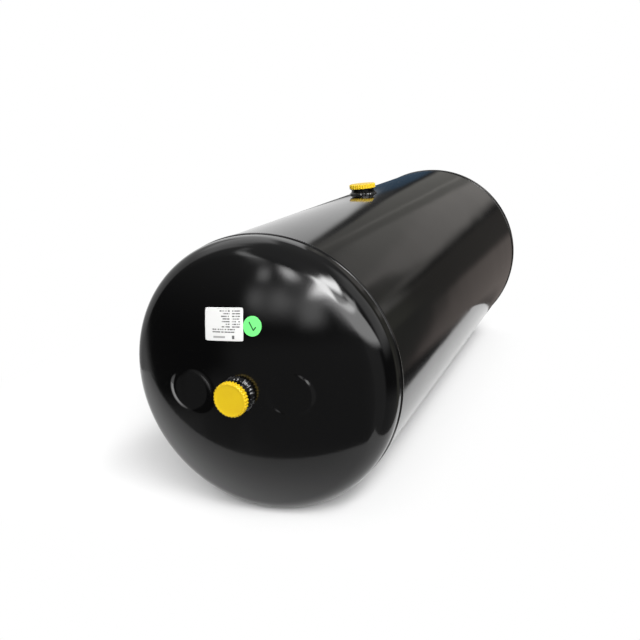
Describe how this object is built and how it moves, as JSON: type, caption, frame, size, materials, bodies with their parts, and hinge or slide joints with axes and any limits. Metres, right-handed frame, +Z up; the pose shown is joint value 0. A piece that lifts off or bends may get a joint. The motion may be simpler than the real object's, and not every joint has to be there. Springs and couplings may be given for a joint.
{
  "type": "horizontal compressed-air tank",
  "caption": "Horizontal compressed-air tank: a rolled steel shell with dished ends, welded port bosses under knurled plastic caps, and blank pressed pads beside the end ports.",
  "frame": {"origin": "on the floor under the middle of the tank, at the lowest line of the girth welds", "axes": "+Z up through the drain port, +Y along the tank from the labelled end to the plain end, +X to the right as the labelled end is faced"},
  "size_m": [0.2478, 0.7106, 0.2581],
  "materials": {
    "gloss_paint": "gloss",
    "cap_plastic": "satin",
    "label_film": "satin",
    "sticker_film": "matte"
  },
  "bodies": {
    "root": {"shell": "gloss_paint", "shell_seam_weld": "gloss_paint", "front_end": "gloss_paint", "front_girth_weld": "gloss_paint", "front_boss": "gloss_paint", "front_boss_weld": "gloss_paint", "front_cap": "cap_plastic", "rear_end": "gloss_paint", "rear_girth_weld": "gloss_paint", "rear_boss": "gloss_paint", "rear_boss_weld": "gloss_paint", "rear_cap": "cap_plastic", "drain_boss": "gloss_paint", "drain_boss_weld": "gloss_paint", "drain_cap": "cap_plastic", "rating_label": "label_film", "inspection_sticker": "sticker_film"}
  },
  "joints": []
}
